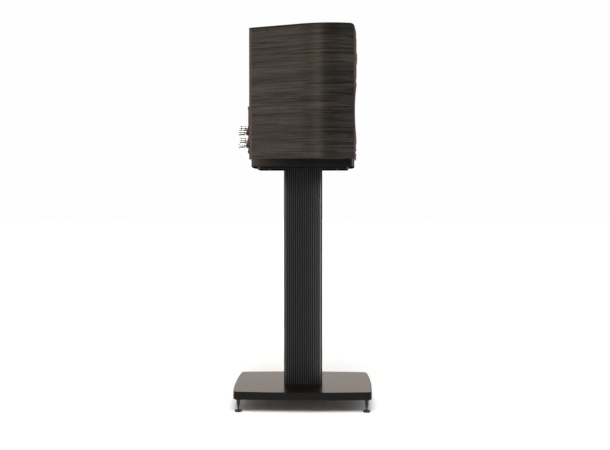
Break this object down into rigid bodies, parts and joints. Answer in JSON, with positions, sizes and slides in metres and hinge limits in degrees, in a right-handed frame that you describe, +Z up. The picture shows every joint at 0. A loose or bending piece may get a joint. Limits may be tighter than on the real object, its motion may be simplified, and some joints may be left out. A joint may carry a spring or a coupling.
{
  "type": "bookshelf speaker",
  "caption": "Two-way bookshelf loudspeaker with curved veneered sides and a bowed baffle, bolted on its fluted floor stand with spiked feet and rear binding posts.",
  "frame": {"origin": "on the floor, under the centre of the base plate", "axes": "X across the speaker, -Y to the front where the drivers face, +Z up"},
  "size_m": [0.28, 0.395, 1.085],
  "materials": {
    "veneer": "dark satin veneer, grain running front to back",
    "edge_wood": "dark satin solid wood",
    "leather": "black grained covering over board",
    "mdf": "bare fibreboard",
    "felt": "soft fibre wadding",
    "black_plastic": "fine matt black",
    "circuit_board": "green fibreglass board",
    "copper": "enamelled copper wire",
    "film_cap": "gloss wrapped film capacitor",
    "wire": "flexible insulated wire",
    "cast_black": "black powder coated casting",
    "ferrite": "bare ferrite",
    "plated_steel": "zinc plated",
    "spider": "resin stiffened cloth",
    "rubber": "soft matt rubber",
    "paper": "grey-black pulp cone",
    "silk": "coated silk",
    "bright_metal": "bright plated, knurled",
    "red_plastic": "gloss red",
    "stand_black": "satin black coating",
    "stand_column": "black anodised extrusion",
    "stand_base": "satin black lacquer, greyish in reflection",
    "black_steel": "blackened steel"
  },
  "bodies": {
    "enclosure": {"left_side_panel": "veneer", "right_side_panel": "veneer", "rear_panel": "edge_wood", "front_baffle": "leather", "top_panel": "leather", "bottom_board": "mdf", "window_brace": "mdf", "damping_wadding": "felt", "port_duct": "black_plastic", "port_trim": "black_plastic", "crossover_board": "circuit_board", "crossover_inductors": "copper", "crossover_capacitors": "film_cap", "internal_wiring": "wire", "woofer_basket": "cast_black", "woofer_magnet": "ferrite", "woofer_top_plate": "plated_steel", "woofer_yoke": "plated_steel", "woofer_spider": "spider", "woofer_surround": "rubber", "woofer_trim_ring": "black_plastic", "woofer_screws": "black_steel", "tweeter_faceplate": "cast_black", "tweeter_magnet": "plated_steel", "tweeter_rear_chamber": "black_plastic", "tweeter_surround": "rubber", "tweeter_screws": "black_steel", "terminal_plate": "black_plastic", "terminal_screws": "black_steel", "post_studs": "bright_metal", "post_rings_red": "red_plastic", "post_rings_black": "black_plastic", "stand_top_plate": "stand_black", "cabinet_bolts": "plated_steel", "column_flange": "stand_black", "fluted_column": "stand_column", "column_tie_bolts": "plated_steel", "base_plate": "stand_base", "foot_lock_nuts": "black_steel"},
    "woofer_piston": {"woofer_cone": "paper", "woofer_voice_coil": "copper", "woofer_dust_cap": "paper"},
    "tweeter_piston": {"tweeter_dome": "silk", "tweeter_voice_coil": "copper"},
    "post_1_collar": {"post_collar_1": "bright_metal"},
    "post_1_knob": {"post_knob_1": "bright_metal"},
    "post_2_collar": {"post_collar_2": "bright_metal"},
    "post_2_knob": {"post_knob_2": "bright_metal"},
    "post_3_collar": {"post_collar_3": "bright_metal"},
    "post_3_knob": {"post_knob_3": "bright_metal"},
    "post_4_collar": {"post_collar_4": "bright_metal"},
    "post_4_knob": {"post_knob_4": "bright_metal"},
    "foot_1_disc": {"foot_disc_1": "black_steel"},
    "foot_1_spike": {"foot_spike_1": "black_steel"},
    "foot_2_disc": {"foot_disc_2": "black_steel"},
    "foot_2_spike": {"foot_spike_2": "black_steel"},
    "foot_3_disc": {"foot_disc_3": "black_steel"},
    "foot_3_spike": {"foot_spike_3": "black_steel"},
    "foot_4_disc": {"foot_disc_4": "black_steel"},
    "foot_4_spike": {"foot_spike_4": "black_steel"}
  },
  "joints": [
    {"name": "woofer_travel", "type": "slide", "parent": "enclosure", "child": "woofer_piston", "axis": [0, -1, 0], "range_m": [-0.005, 0.005], "stiffness_N_per_m": 1200, "deforming": ["woofer_surround", "woofer_spider"]},
    {"name": "tweeter_travel", "type": "slide", "parent": "enclosure", "child": "tweeter_piston", "axis": [0, -1, 0], "range_m": [-0.0005, 0.0005], "stiffness_N_per_m": 400, "deforming": ["tweeter_surround"]},
    {"name": "post_1_slide", "type": "slide", "parent": "enclosure", "child": "post_1_collar", "axis": [0, 1, 0], "range_m": [0, 0.005]},
    {"name": "post_1_turn", "type": "hinge", "parent": "post_1_collar", "child": "post_1_knob", "pos_m": [-0.02, 0.1687, 0.7856], "axis": [0, 1, 0], "range_deg": [0, 1800]},
    {"name": "post_2_slide", "type": "slide", "parent": "enclosure", "child": "post_2_collar", "axis": [0, 1, 0], "range_m": [0, 0.005]},
    {"name": "post_2_turn", "type": "hinge", "parent": "post_2_collar", "child": "post_2_knob", "pos_m": [-0.02, 0.1687, 0.7493], "axis": [0, 1, 0], "range_deg": [0, 1800]},
    {"name": "post_3_slide", "type": "slide", "parent": "enclosure", "child": "post_3_collar", "axis": [0, 1, 0], "range_m": [0, 0.005]},
    {"name": "post_3_turn", "type": "hinge", "parent": "post_3_collar", "child": "post_3_knob", "pos_m": [0.02, 0.1687, 0.8007], "axis": [0, 1, 0], "range_deg": [0, 1800]},
    {"name": "post_4_slide", "type": "slide", "parent": "enclosure", "child": "post_4_collar", "axis": [0, 1, 0], "range_m": [0, 0.005]},
    {"name": "post_4_turn", "type": "hinge", "parent": "post_4_collar", "child": "post_4_knob", "pos_m": [0.02, 0.1687, 0.7653], "axis": [0, 1, 0], "range_deg": [0, 1800]},
    {"name": "foot_1_height", "type": "slide", "parent": "enclosure", "child": "foot_1_disc", "axis": [0, 0, -1], "range_m": [0, 0.008]},
    {"name": "foot_1_turn", "type": "hinge", "parent": "foot_1_disc", "child": "foot_1_spike", "pos_m": [-0.12, -0.179, 0.02], "axis": [0, 0, -1], "range_deg": [0, 2304]},
    {"name": "foot_2_height", "type": "slide", "parent": "enclosure", "child": "foot_2_disc", "axis": [0, 0, -1], "range_m": [0, 0.008]},
    {"name": "foot_2_turn", "type": "hinge", "parent": "foot_2_disc", "child": "foot_2_spike", "pos_m": [0.12, -0.179, 0.02], "axis": [0, 0, -1], "range_deg": [0, 2304]},
    {"name": "foot_3_height", "type": "slide", "parent": "enclosure", "child": "foot_3_disc", "axis": [0, 0, -1], "range_m": [0, 0.008]},
    {"name": "foot_3_turn", "type": "hinge", "parent": "foot_3_disc", "child": "foot_3_spike", "pos_m": [-0.12, 0.179, 0.02], "axis": [0, 0, -1], "range_deg": [0, 2304]},
    {"name": "foot_4_height", "type": "slide", "parent": "enclosure", "child": "foot_4_disc", "axis": [0, 0, -1], "range_m": [0, 0.008]},
    {"name": "foot_4_turn", "type": "hinge", "parent": "foot_4_disc", "child": "foot_4_spike", "pos_m": [0.12, 0.179, 0.02], "axis": [0, 0, -1], "range_deg": [0, 2304]}
  ],
  "couplings": [
    {"joint": "post_1_turn", "follows": "post_1_slide", "rad_per_m": 6283.2},
    {"joint": "post_2_turn", "follows": "post_2_slide", "rad_per_m": 6283.2},
    {"joint": "post_3_turn", "follows": "post_3_slide", "rad_per_m": 6283.2},
    {"joint": "post_4_turn", "follows": "post_4_slide", "rad_per_m": 6283.2},
    {"joint": "foot_1_turn", "follows": "foot_1_height", "rad_per_m": 5026.5},
    {"joint": "foot_2_turn", "follows": "foot_2_height", "rad_per_m": 5026.5},
    {"joint": "foot_3_turn", "follows": "foot_3_height", "rad_per_m": 5026.5},
    {"joint": "foot_4_turn", "follows": "foot_4_height", "rad_per_m": 5026.5}
  ]
}
